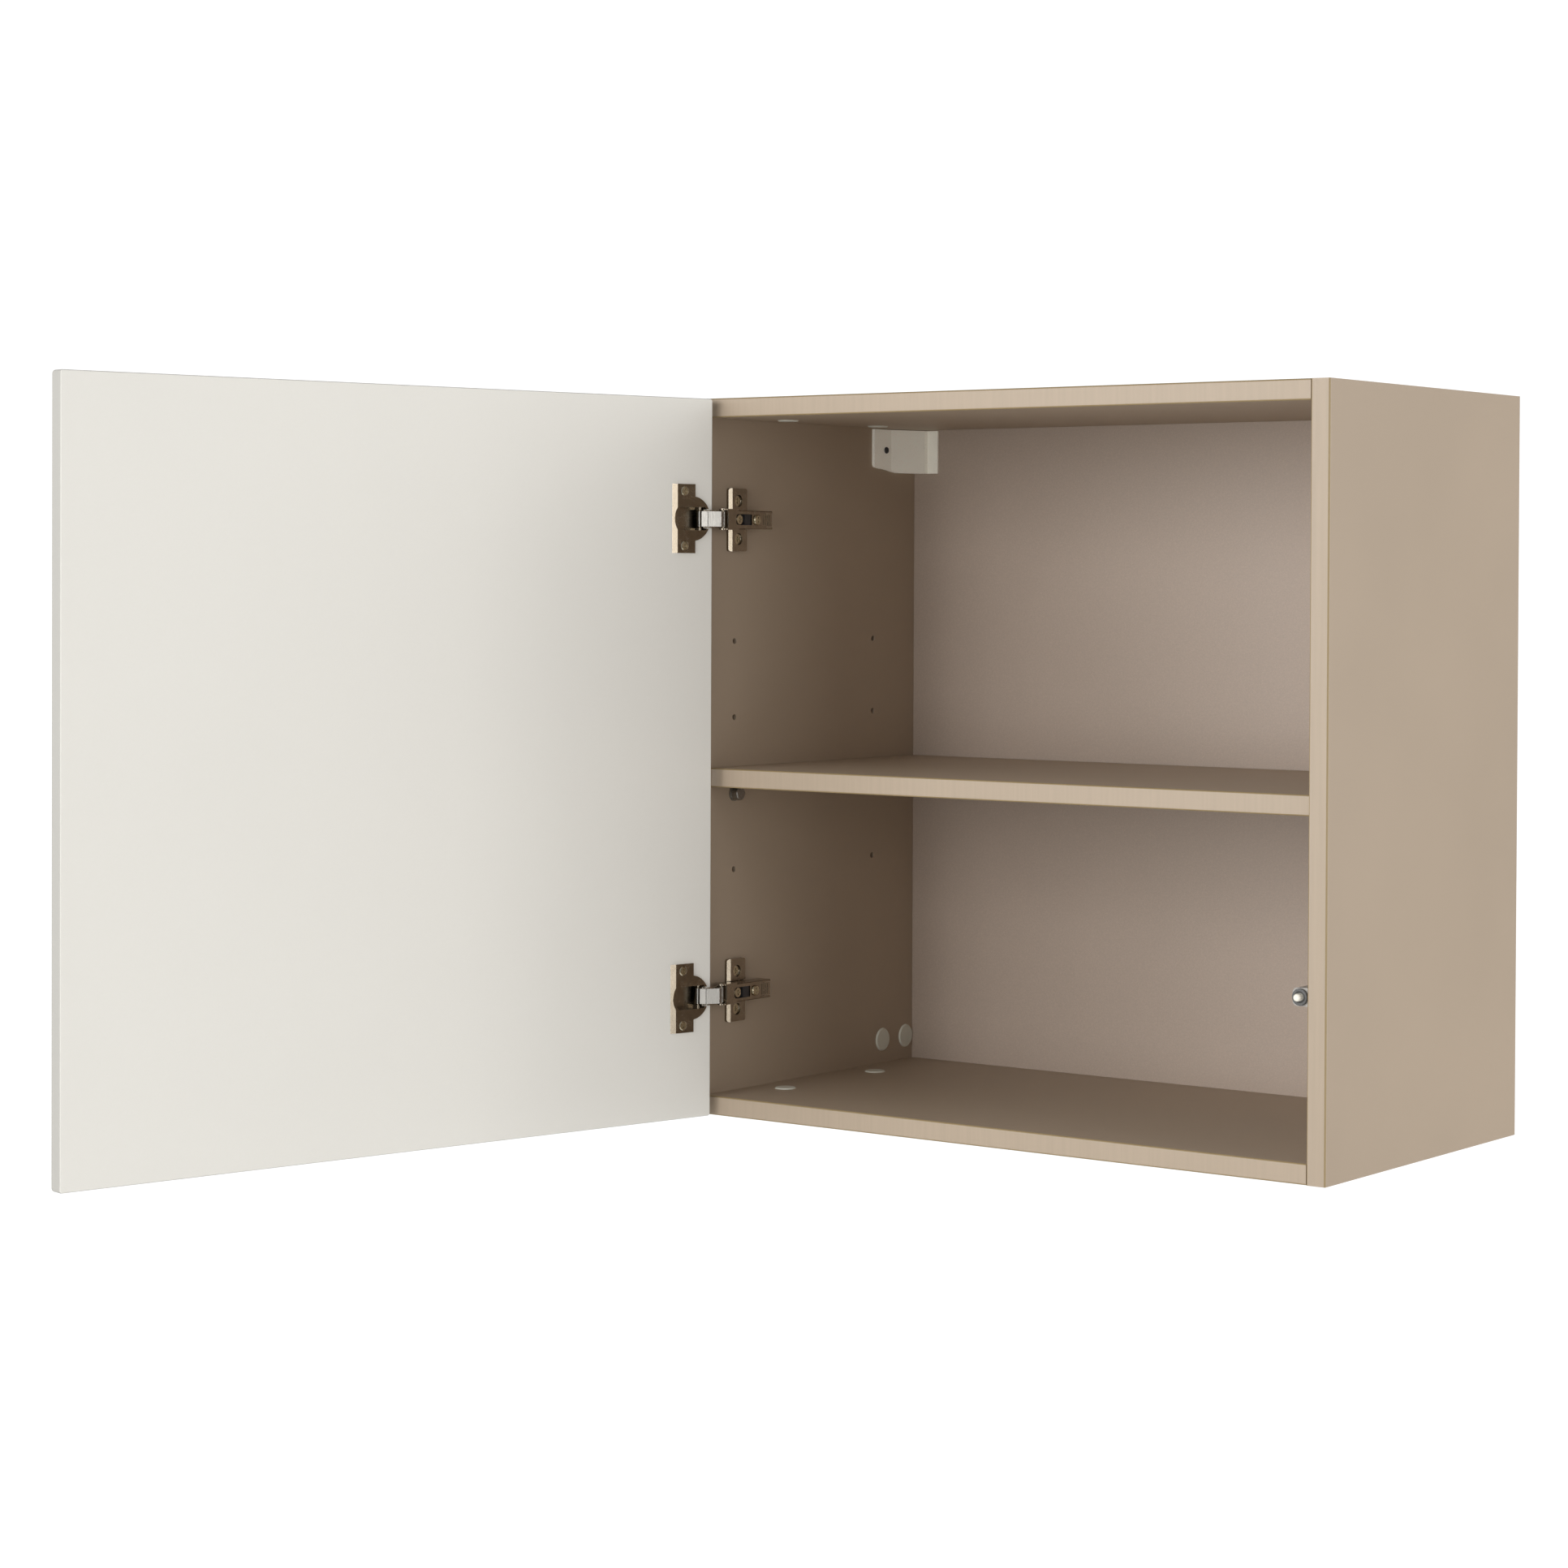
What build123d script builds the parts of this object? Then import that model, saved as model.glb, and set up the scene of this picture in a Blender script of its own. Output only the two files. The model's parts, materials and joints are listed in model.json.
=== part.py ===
from build123d import *
import os
from math import atan2, cos, degrees, hypot, radians, sin

# Hanging wall cabinet, one left-hung door on two concealed cup hinges, one loose shelf.
# Frame: X to the right, Y into the wall, Z up. The origin is on the wall plane, at the
# middle of the width and level with the underside, so the cabinet front is at -DEPTH.
os.makedirs("parts", exist_ok=True)

# Carcass
WIDTH = 600.0
HEIGHT = 596.0
DEPTH = 316.0
BOARD = 16.0
BAND = 2.0  # edge band thickness
BAND_ROUND = 1.5  # eased arris of every edge band
LEFT = -WIDTH / 2
FRONT = -DEPTH
INNER_LEFT = LEFT + BOARD
INNER_WIDTH = WIDTH - 2 * BOARD

# Back panel, slid into a groove that runs round the carcass
BACK_THICK = 3.0
BACK_RECESS = 15.5  # from the wall to the rear of the back panel
GROOVE_DEEP = 7.0
GROOVE_SLACK = 0.2
BACK_FRONT_Y = -BACK_RECESS - BACK_THICK

# Rows of system holes, measured from the carcass front
ROW_FRONT = 37.0
ROW_REAR = 235.0
PITCH = 32.0
SHELF_HOLE_R = 2.5
SHELF_HOLE_DEEP = 11.0
SHELF_LEVELS = [202.0, 266.0, 330.0, 394.0]
SHELF_HOLE_Z = 266.0  # the level that carries the shelf

# Shelf and its studs
SHELF_UNDER_Z = 272.6
SHELF_SETBACK = 4.2
SHELF_SIDE_GAP = 1.0
SHELF_REAR_GAP = 2.0
STUD_HEAD_R = 5.6
STUD_HEAD_LONG = 8.0
STUD_COLLAR_R = 6.6
STUD_COLLAR = 1.2

# Knock-down corner fittings: cam locks in the top and bottom, bolts in the sides
CAM_ROWS = [72.0, 201.0]  # from the carcass front
CAM_OFFSET = 29.0  # from the inner face of the side to the cam's centre
CAM_R = 7.4
CAM_DEEP = 12.4
CAM_CAP_R = 9.0
CAM_CAP_THICK = 1.0
BOLT_R = 3.0
BOLT_THREAD_R = 2.5
BOLT_THREAD = 11.0
BOLT_HEAD_R = 3.6
DOWEL_R = 4.0
DOWEL_ROWS = [137.0, 266.0]
DOWEL_HALF = 12.0

# Wall hangers in the two upper rear corners
HANGER_HOLES = [252.0, 287.0]  # from the carcass front
HANGER_HOLE_R = 5.0
HANGER_HOLE_DEEP = 12.0
HANGER_Z = 559.4
HANGER_LOW_Z = HEIGHT - HANGER_Z  # the same drilling, unused, near the underside
SIDE_CAP_R = 10.2
COVER_TOP_Z = 579.2
COVER_LOW_Z = 541.2
COVER_FRONT = 232.5  # from the carcass front
COVER_STEP = 257.5
COVER_WALL = 1.4
COVER_FLANGE = 2.8  # the side flange stands over the hanger's base plate
COVER_REACH = 42.0  # from the left outer face, along the back panel
COVER_BOX = 31.5
COVER_SCREW = 250.0
COVER_SCREW_Z = HANGER_Z + 1.5
HANGER_BASE = 1.2
HANGER_HALF = 14.0
HOOK_X = (3.4, 6.6)  # from the side's inner face
HOOK_LOW = 9.5
HOOK_HIGH = 7.5
HOOK_TIP_Y = -5.0
HOOK_THROAT = (-10.5, -7.6)  # gap that takes the wall rail
ADJUSTER_UP = 10.5  # from the hanger's level

# Door
DOOR_WIDTH = 596.0
DOOR_LOW_Z = 1.0
DOOR_HIGH_Z = 595.0
DOOR_THICK = 16.0
DOOR_GAP = 2.0  # between the closed door and the carcass front
DOOR_SIDE_GAP = 2.0
DOOR_OUTER_ROUND = 5.0
DOOR_INNER_ROUND = 1.2
DOOR_TURN = 103.2  # how far the door stands open

# Concealed hinges, both alike. Plan positions are measured from the left outer face
# and from the carcass front; cup positions from the door's hinge edge and inner face.
HINGE_LEVELS = [100.6, 495.7]
ARM_PIN = (30.2, 3.085)  # outer link on the arm
CUP_PIN = (9.0, 5.5)  # outer link in the cup
LINK_TURN = 37.53  # the outer link's turn while the door opens by DOOR_TURN
INNER_PIN = (26.16, 9.98)  # inner link on the arm
PIN_R = 1.0
PIN_FIT = 0.05
LINK_THICK = 1.6
LINK_HALF = 6.2
KNUCKLE_R = 1.9
LUG_LOW = 7.75  # the cup's lugs stand between LUG_LOW and LUG_HIGH off the hinge's level
LUG_HIGH = 9.7
CUP_PIN_HALF = 9.0
CREASE_R = 0.55  # pressed crease along the outer link's bend
CREASE_SINK = 0.35
CREASE_OUT = (0.7, -0.75)  # outward direction at that bend
CHEEK_LOW = 6.55
CHEEK_HIGH = 7.35
CHEEK_HALF_WIDE = 0.8
EAR_LOW = 7.55
EAR_HIGH = 8.65
ARM_HALF = 7.65
ARM_WALL = 1.1
ARM_FACE = 34.2  # room side of the arm, from the left outer face
ARM_REAR = 64.7
ARM_LOW = 21.5  # wall side of the arm's cheeks and ears
ARM_FRONT = 5.6
EAR_REAR = 19.0
EAR_R = 3.4
SLOT_FRONT = 15.6
SLOT_REAR = 36.8
SLOT_HALF = 4.6
LEVER_FRONT = 50.5
LEVER_HALF = 5.7
LEVER_RIDGE = 2.4  # pitch of the grip ridges
CUP_CENTRE = 21.5
CUP_R = 17.45
CUP_DEEP = 12.9
CUP_FLOOR = 0.9
CUP_FLANGE = 1.5
CUP_SCREW = 30.0
CUP_SCREW_HALF = 22.5
BAR_LOW = 19.0
BAR_HIGH = 42.0
BAR_HALF = 28.4
BAR_BEVEL = 4.6  # wide bevel along the bar's edge that faces the door's free edge
MOUTH_HALF = 9.6
RIM_NOTCH_HALF = 8.2  # the links leave the cup through this notch in its rim
RIM_NOTCH_DEEP = 2.8
PLATE_TOP = 20.0
PLATE_RAIL = 30.0
RAIL_HALF = 6.3
RAIL_FRONT = 19.5
RAIL_REAR = 62.0
WING_FRONT = 25.5
WING_REAR = 48.5
WING_HALF = 26.4
WING_ROUND = 2.2
SCREW_SINK = 1.3  # the plate screws sit this deep in round counterbores
WING_BEVEL = (1.8, 3.0)  # into the thickness, and along the face
ADJUST_FRONT = 21.0
ADJUST_REAR = 43.3

# Push latch on the right side, near the front
LATCH_X = 575.5
LATCH_Z = 138.4
LATCH_RING_FRONT = 3.6
LATCH_TIP = 1.6  # how far the plunger stands out of the carcass front
LATCH_RING_R = 6.4
LATCH_BODY_R = 5.0
LATCH_REAR = 70.0
LATCH_BOX_HALF = 6.9  # half the housing's height, and how far it passes the axis
LATCH_WING = (14.0, 30.0)  # front and rear of the screwed wings
LATCH_WING_HALF = 20.0
LATCH_WING_THICK = 2.4
PLUNGER_R = 2.9
PLUNGER_LONG = 34.0
LATCH_SCREWS = [(22.0, 15.0), (22.0, -15.0)]  # from the carcass front, off the latch axis


def turned(point, centre, angle):
    """Plan point turned about a centre, anticlockwise seen from above."""
    dx = point[0] - centre[0]
    dy = point[1] - centre[1]
    ca = cos(radians(angle))
    sa = sin(radians(angle))
    return (centre[0] + dx * ca - dy * sa, centre[1] + dx * sa + dy * ca)


# The open door follows from the linkage: the outer link carries the cup pin round the
# arm pin, and the door turns about the cup pin.
CORNER_SHUT = (DOOR_SIDE_GAP, -DOOR_GAP)
CUP_PIN_SHUT = (CORNER_SHUT[0] + CUP_PIN[0], CORNER_SHUT[1] - CUP_PIN[1])
CUP_PIN_OPEN = turned(CUP_PIN_SHUT, ARM_PIN, LINK_TURN)
CORNER_ARM = (CUP_PIN_OPEN[0] - CUP_PIN[0], CUP_PIN_OPEN[1] + CUP_PIN[1])
CORNER_OPEN = turned(CORNER_ARM, CUP_PIN_OPEN, -DOOR_TURN)
DOOR_PLACE = Location((LEFT + CORNER_OPEN[0], FRONT + CORNER_OPEN[1], 0), (0, 0, -DOOR_TURN))

# Centre lines of the two links with the door open, from the cup to the arm
OUTER_LINK_BENDS = [(24.6, -17.9), (28.9, -15.6), (34.9, -5.9), (34.4, -3.4)]
OUTER_LINK_LINE = [CUP_PIN_OPEN] + OUTER_LINK_BENDS + [ARM_PIN]
INNER_LINK_LINE = [(26.0, -17.38), (26.5, -17.5), (29.85, -15.15), (31.2, -11.2), (27.5, 2.3), INNER_PIN]


def block(x0, x1, y0, y1, z0, z1):
    """Box between two corners, in the frame of the row."""
    return Pos((x0 + x1) / 2, (y0 + y1) / 2, (z0 + z1) / 2) * Box(x1 - x0, y1 - y0, z1 - z0)


def rod(start, axis, radius, length):
    """Cylinder that leaves start along axis."""
    seat = Plane(origin=start, z_dir=axis)
    return seat * Cylinder(radius, length, align=(Align.CENTER, Align.CENTER, Align.MIN))


def cone(start, axis, r0, r1, length):
    """Frustum that leaves start along axis, from radius r0 to r1."""
    seat = Plane(origin=start, z_dir=axis)
    return seat * Cone(r0, r1, length, align=(Align.CENTER, Align.CENTER, Align.MIN))


def cross_recess(start, axis, across, depth, wide=0.9):
    """Cutter for a cross-head recess, sunk from start along axis."""
    seat = Plane(origin=start, z_dir=axis)
    grow = (Align.CENTER, Align.CENTER, Align.MIN)
    arms = Box(across, wide, depth, align=grow) + Box(wide, across, depth, align=grow)
    return seat * arms


def pan_screw(face, axis, head_r, head, shank_r, shank):
    """Screw whose head stands on face; axis points from the head into the work."""
    back = Vector(*axis) * -head
    top = Vector(*face) + back
    screw = rod(top, axis, head_r, head) + rod(face, axis, shank_r, shank)
    rim = [e for e in screw.edges() if e.geom_type == GeomType.CIRCLE]
    rim = [e for e in rim if abs(e.radius - head_r) < 0.01]
    rim = sorted(rim, key=lambda e: (e.center() - top).length)[:1]
    screw = fillet(rim, head * 0.6)
    return screw - cross_recess(top, axis, head_r * 1.15, head * 0.75)


def mirrored(solid):
    """The same piece for the right-hand side."""
    return mirror(solid, about=Plane.YZ)


def group(solids):
    """Separate solids of one node."""
    return Compound(children=list(solids))


def plan_band(line, half, z0, z1):
    """Strip of even width that follows a plan line with round ends, between two levels."""
    solid = None
    for start, end in zip(line[:-1], line[1:]):
        ax, ay = LEFT + start[0], FRONT + start[1]
        bx, by = LEFT + end[0], FRONT + end[1]
        length = hypot(bx - ax, by - ay)
        heading = degrees(atan2(by - ay, bx - ax))
        run = Pos((ax + bx) / 2, (ay + by) / 2, (z0 + z1) / 2) * Rot(0, 0, heading)
        piece = run * Box(length, 2 * half, z1 - z0)
        solid = piece if solid is None else solid + piece
        solid = solid + rod((bx, by, z0), (0, 0, 1), half, z1 - z0)
    sx, sy = LEFT + line[0][0], FRONT + line[0][1]
    return solid + rod((sx, sy, z0), (0, 0, 1), half, z1 - z0)


# ---------------------------------------------------------------- carcass

def corner_levels():
    """Mid-planes of the bottom and top panels."""
    return [BOARD / 2, HEIGHT - BOARD / 2]


def groove(x0, x1, z0, z1):
    """Cutter for the back panel's groove."""
    return block(x0, x1, BACK_FRONT_Y - GROOVE_SLACK, -BACK_RECESS + GROOVE_SLACK, z0, z1)


def side_panel(hinged):
    """Left-hand side panel without its front band; the hinged side takes the plate screws."""
    panel = block(LEFT, INNER_LEFT, FRONT + BAND, 0, 0, HEIGHT)
    panel -= groove(INNER_LEFT - GROOVE_DEEP, INNER_LEFT, 0, HEIGHT)
    inward = (-1, 0, 0)
    for z in SHELF_LEVELS:
        for row in (ROW_FRONT, ROW_REAR):
            panel -= rod((INNER_LEFT, FRONT + row, z), inward, SHELF_HOLE_R, SHELF_HOLE_DEEP)
    for z in corner_levels():
        for row in CAM_ROWS:
            panel -= rod((INNER_LEFT, FRONT + row, z), inward, BOLT_THREAD_R, BOLT_THREAD)
        for row in DOWEL_ROWS:
            panel -= rod((INNER_LEFT, FRONT + row, z), inward, DOWEL_R, DOWEL_HALF)
    for z in (HANGER_LOW_Z, HANGER_Z):
        for row in HANGER_HOLES:
            panel -= rod((INNER_LEFT, FRONT + row, z), inward, HANGER_HOLE_R, HANGER_HOLE_DEEP)
    if hinged:
        for level in HINGE_LEVELS:
            for z in (level - PITCH / 2, level + PITCH / 2):
                panel -= rod((INNER_LEFT, FRONT + ROW_FRONT, z), inward, 2.5, 12)
    else:
        for row, dz in LATCH_SCREWS:
            panel -= rod((INNER_LEFT, FRONT + row, LATCH_Z + dz), inward, 1.5, 9)
    return panel


def side_band():
    """Front edge band of the left side, rounded along both arrises."""
    band = block(LEFT, INNER_LEFT, FRONT, FRONT + BAND, 0, HEIGHT)
    front = [e for e in band.edges().filter_by(Axis.Z) if abs(e.center().Y - FRONT) < 0.01]
    return fillet(front, BAND_ROUND)


def deck_panel(top):
    """Top or bottom panel, set between the sides, bored for cams, bolts and dowels."""
    z0 = HEIGHT - BOARD if top else 0
    z1 = z0 + BOARD
    inner_z = z0 if top else z1
    into = (0, 0, 1) if top else (0, 0, -1)
    panel = block(INNER_LEFT, -INNER_LEFT, FRONT + BAND, 0, z0, z1)
    if top:
        panel -= groove(INNER_LEFT, -INNER_LEFT, z0, z0 + GROOVE_DEEP)
    else:
        panel -= groove(INNER_LEFT, -INNER_LEFT, z1 - GROOVE_DEEP, z1)
    for hand in (-1, 1):
        end_x = -hand * INNER_LEFT
        for row in CAM_ROWS:
            cam_x = end_x - hand * CAM_OFFSET
            y = FRONT + row
            panel -= rod((cam_x, y, inner_z), into, CAM_R, CAM_DEEP)
            panel -= rod((end_x, y, z0 + BOARD / 2), (-hand, 0, 0), BOLT_HEAD_R + 0.2, CAM_OFFSET)
        for row in DOWEL_ROWS:
            y = FRONT + row
            panel -= rod((end_x, y, z0 + BOARD / 2), (-hand, 0, 0), DOWEL_R, DOWEL_HALF)
    return panel


def deck_band(top):
    """Front edge band of the top or bottom panel."""
    z0 = HEIGHT - BOARD if top else 0
    return cross_band(INNER_LEFT, -INNER_LEFT, FRONT, z0)


def cross_band(x0, x1, y0, z0):
    """Edge band that runs across the width, rounded along its two front arrises."""
    band = block(x0, x1, y0, y0 + BAND, z0, z0 + BOARD)
    front = [e for e in band.edges().filter_by(Axis.X) if abs(e.center().Y - y0) < 0.01]
    return fillet(front, BAND_ROUND)


def back_panel():
    """Thin back, held in the groove on all four sides and notched for the hangers."""
    reach = GROOVE_DEEP - 0.5
    panel = block(INNER_LEFT - reach, -INNER_LEFT + reach, BACK_FRONT_Y, -BACK_RECESS,
                  BOARD - reach, HEIGHT - BOARD + reach)
    for hand in (-1, 1):
        x0, x1 = sorted((hand * 282.5, hand * 268.5))
        panel -= block(x0, x1, BACK_FRONT_Y - 1, -BACK_RECESS + 1, COVER_LOW_Z + 5, COVER_TOP_Z - 4)
    return panel


def shelf():
    """Loose shelf without its front band."""
    x0 = INNER_LEFT + SHELF_SIDE_GAP
    y1 = BACK_FRONT_Y - SHELF_REAR_GAP
    return block(x0, -x0, FRONT + SHELF_SETBACK + BAND, y1, SHELF_UNDER_Z, SHELF_UNDER_Z + BOARD)


def shelf_band():
    """Front edge band of the shelf."""
    x0 = INNER_LEFT + SHELF_SIDE_GAP
    return cross_band(x0, -x0, FRONT + SHELF_SETBACK, SHELF_UNDER_Z)


def shelf_stud(row):
    """Left-hand shelf stud: peg in the hole, collar on the panel, round head cut flat on top."""
    y = FRONT + row
    peg = rod((INNER_LEFT - SHELF_HOLE_DEEP + 1, y, SHELF_HOLE_Z), (1, 0, 0), SHELF_HOLE_R, SHELF_HOLE_DEEP)
    collar = rod((INNER_LEFT, y, SHELF_HOLE_Z), (1, 0, 0), STUD_COLLAR_R, STUD_COLLAR)
    head = rod((INNER_LEFT, y, SHELF_HOLE_Z), (1, 0, 0), STUD_HEAD_R, STUD_HEAD_LONG)
    end_x = INNER_LEFT + STUD_HEAD_LONG
    rim = [e for e in head.edges() if e.geom_type == GeomType.CIRCLE and abs(e.center().X - end_x) < 0.01]
    head = fillet(rim, 1.2)
    rest = block(INNER_LEFT, end_x, y - STUD_COLLAR_R, y + STUD_COLLAR_R,
                 SHELF_UNDER_Z - 1.8, SHELF_UNDER_Z)
    upright = [e for e in rest.edges().filter_by(Axis.Z) if abs(e.center().X - end_x) < 0.01]
    rest = fillet(upright, 2.0)
    stud = collar + head + rest
    stud -= block(INNER_LEFT - 1, end_x + 1, y - 9, y + 9, SHELF_UNDER_Z, SHELF_UNDER_Z + 9)
    return stud + peg


def shelf_studs():
    """Two studs on each side."""
    left = [shelf_stud(row) for row in (ROW_FRONT, ROW_REAR)]
    return group(left + [mirrored(s) for s in left])


# ---------------------------------------------------------------- corner fittings

def corner_places():
    """Every cam place: cam centre x, side of the cabinet, row, bottom or top."""
    places = []
    for top in (False, True):
        for hand in (-1, 1):
            for row in CAM_ROWS:
                places.append((hand * (-INNER_LEFT - CAM_OFFSET), hand, FRONT + row, top))
    return places


def cam_lock(x, hand, y, top):
    """Round cam with a slot for the bolt's head and a cross recess in its face."""
    face_z = HEIGHT - BOARD if top else BOARD
    into = (0, 0, 1) if top else (0, 0, -1)
    mid_z = HEIGHT - BOARD / 2 if top else BOARD / 2
    cam = rod((x, y, face_z), into, CAM_R, CAM_DEEP)
    cam -= rod((x, y, mid_z), (hand, 0, 0), BOLT_R + 0.4, CAM_R + 1)
    cam -= rod((x - hand * 0.5, y, mid_z), (hand, 0, 0), BOLT_HEAD_R + 0.3, 4.4)
    return cam - cross_recess((x, y, face_z), into, 6.4, 2.2, 1.8)


def cam_bolt(x, hand, y, top):
    """Bolt screwed into the side, its head held by the cam."""
    mid_z = HEIGHT - BOARD / 2 if top else BOARD / 2
    face_x = hand * -INNER_LEFT
    shank = rod((x, y, mid_z), (hand, 0, 0), BOLT_R, CAM_OFFSET)
    head = rod((x, y, mid_z), (hand, 0, 0), BOLT_HEAD_R, 2.6)
    thread = rod((face_x, y, mid_z), (hand, 0, 0), BOLT_THREAD_R, BOLT_THREAD)
    neck = rod((x + hand * 2.6, y, mid_z), (hand, 0, 0), BOLT_HEAD_R + 1, 3.2)
    neck -= rod((x + hand * 2.6, y, mid_z), (hand, 0, 0), 2.3, 3.2)
    return shank + head + thread - neck


def cam_cap(x, hand, y, top):
    """Thin domed cap over a cam."""
    face_z = HEIGHT - BOARD if top else BOARD
    out = (0, 0, -1) if top else (0, 0, 1)
    into = (0, 0, 1) if top else (0, 0, -1)
    cap = cone((x, y, face_z), out, CAM_CAP_R, CAM_CAP_R - 0.9, CAM_CAP_THICK)
    return cap + rod((x, y, face_z), into, 0.8, 1.8)


def wood_dowel(hand, row, top):
    """Beech dowel with chamfered ends, half in the side and half in the panel."""
    mid_z = HEIGHT - BOARD / 2 if top else BOARD / 2
    face_x = hand * -INNER_LEFT
    start = (face_x - hand * (DOWEL_HALF - 0.5), FRONT + row, mid_z)
    dowel = rod(start, (hand, 0, 0), DOWEL_R, 2 * DOWEL_HALF - 1)
    ends = [e for e in dowel.edges() if e.geom_type == GeomType.CIRCLE]
    return chamfer(ends, 1.0)


def wood_dowels():
    """Eight dowels, two in each corner joint."""
    dowels = []
    for top in (False, True):
        for hand in (-1, 1):
            for row in DOWEL_ROWS:
                dowels.append(wood_dowel(hand, row, top))
    return group(dowels)


def side_caps():
    """Round caps in the unused hanger holes near the underside, both sides."""
    caps = []
    for row in HANGER_HOLES:
        start = (INNER_LEFT, FRONT + row, HANGER_LOW_Z)
        cap = cone(start, (1, 0, 0), SIDE_CAP_R, SIDE_CAP_R - 1.0, 1.2)
        caps.append(cap + rod(start, (-1, 0, 0), HANGER_HOLE_R, 8))
    return group(caps + [mirrored(c) for c in caps])


# ---------------------------------------------------------------- wall hanger

def hanger_body():
    """Left hanger: die-cast wedge on a base plate with two round studs, slotted for the hook."""
    rear = BACK_FRONT_Y - 1.2
    outline = Polyline(
        (INNER_LEFT, FRONT + 244.0),
        (INNER_LEFT + HANGER_BASE, FRONT + 244.0),
        (INNER_LEFT + HANGER_BASE, FRONT + 264.0),
        (LEFT + 19.5, FRONT + 266.0),
        (LEFT + 27.2, FRONT + 287.0),
        (LEFT + 27.2, rear),
        (INNER_LEFT, rear),
        close=True,
    )
    body = Pos(0, 0, HANGER_Z - HANGER_HALF) * extrude(make_face(outline), amount=2 * HANGER_HALF)
    for sign in (-1, 1):
        z0, z1 = sorted((HANGER_Z + sign * 9.5, HANGER_Z + sign * (HANGER_HALF + 1)))
        body -= block(INNER_LEFT - 1, INNER_LEFT + 20, FRONT + 240, FRONT + 263, z0, z1)
    for row in HANGER_HOLES:
        seat = (INNER_LEFT + 0.5, FRONT + row, HANGER_Z)
        body += rod(seat, (-1, 0, 0), HANGER_HOLE_R, HANGER_HOLE_DEEP)
    body -= block(INNER_LEFT + 3, INNER_LEFT + 7, FRONT + 270, rear + 1, HANGER_Z - 10, HANGER_Z + 8)
    body -= rod((INNER_LEFT + 2, FRONT + COVER_SCREW, COVER_SCREW_Z), (-1, 0, 0), 1.25, 12)
    body -= rod((INNER_LEFT + 5, FRONT + 262, HANGER_Z + ADJUSTER_UP), (0, 1, 0), 2.1, 19.5)
    return body


def hanger_hook():
    """Steel hook that passes the back panel and drops behind a wall rail."""
    x0 = INNER_LEFT + HOOK_X[0]
    x1 = INNER_LEFT + HOOK_X[1]
    mid_z = HANGER_Z
    throat, root = HOOK_THROAT
    bar = block(x0, x1, FRONT + 276, HOOK_TIP_Y, mid_z - HOOK_LOW, mid_z + HOOK_HIGH)
    bar -= block(x0 - 1, x1 + 1, throat, root, mid_z - 12, mid_z + 4)
    bar -= block(x0 - 1, x1 + 1, root, HOOK_TIP_Y + 1, mid_z - 12, mid_z - 6)
    tall = bar.edges().filter_by(Axis.X)
    corner = [e for e in tall if e.center().Y > HOOK_TIP_Y - 0.5 and e.center().Z > mid_z]
    return fillet(corner, 3.0)


def hanger_adjuster():
    """Adjusting screw that tilts the hook, reached from inside the cabinet."""
    start = (INNER_LEFT + 5, FRONT + 273.8, HANGER_Z + ADJUSTER_UP)
    stem = rod(start, (0, 1, 0), 1.95, 7.0)
    return stem - cross_recess(start, (0, 1, 0), 2.6, 1.2, 0.7)


def cover_outline():
    """Plan outline of the hanger cover from the side panel round to the back panel."""
    x_side = INNER_LEFT
    x_flange = INNER_LEFT + COVER_FLANGE
    x_box = LEFT + COVER_BOX
    y_wall = BACK_FRONT_Y
    return [
        (x_side, FRONT + COVER_FRONT),
        (x_flange, FRONT + COVER_FRONT),
        (x_flange, FRONT + COVER_STEP),
        (x_box, y_wall - 7.0),
        (x_box, y_wall - COVER_WALL),
        (LEFT + COVER_REACH, y_wall - COVER_WALL),
        (LEFT + COVER_REACH, y_wall),
        (x_side, y_wall),
    ]


def hanger_cover():
    """Moulded cover: flange on the side, sloping face, flange on the back panel."""
    height = COVER_TOP_Z - COVER_LOW_Z
    outer = Polyline(*cover_outline(), close=True)
    shell = Pos(0, 0, COVER_LOW_Z) * extrude(make_face(outer), amount=height)
    inner_x = LEFT + COVER_BOX - COVER_WALL
    hollow = Polyline(
        (INNER_LEFT - 1, FRONT + 242.5),
        (INNER_LEFT + HANGER_BASE + 0.2, FRONT + 242.5),
        (INNER_LEFT + HANGER_BASE + 0.2, FRONT + COVER_STEP + 1),
        (inner_x, BACK_FRONT_Y - 7.3),
        (inner_x, BACK_FRONT_Y + 1),
        (INNER_LEFT - 1, BACK_FRONT_Y + 1),
        close=True,
    )
    inside = extrude(make_face(hollow), amount=height - 2 * COVER_WALL)
    shell -= Pos(0, 0, COVER_LOW_Z + COVER_WALL) * inside
    nose = block(INNER_LEFT - 1, LEFT + 60, FRONT + COVER_FRONT - 1, FRONT + COVER_FRONT + 34,
                 COVER_LOW_Z - 8, COVER_LOW_Z)
    tilt = Pos(0, FRONT + COVER_FRONT, COVER_LOW_Z + 4.5) * Rot(-7.5, 0, 0)
    tilt = tilt * Pos(0, -FRONT - COVER_FRONT, -COVER_LOW_Z)
    shell -= tilt * nose
    front = [e for e in shell.edges().filter_by(Axis.X)
             if e.center().Y < FRONT + COVER_FRONT + 0.1 and e.center().Z < HANGER_Z]
    shell = fillet(front, 3.0)
    shell -= rod((INNER_LEFT - 1, FRONT + COVER_SCREW, COVER_SCREW_Z), (1, 0, 0), 1.7, 8)
    return shell


def cover_screw():
    """Short screw through the cover's side flange."""
    face = (INNER_LEFT + COVER_FLANGE, FRONT + COVER_SCREW, COVER_SCREW_Z)
    return pan_screw(face, (-1, 0, 0), 2.9, 1.2, 1.2, 11.5)


# ---------------------------------------------------------------- door

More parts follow.
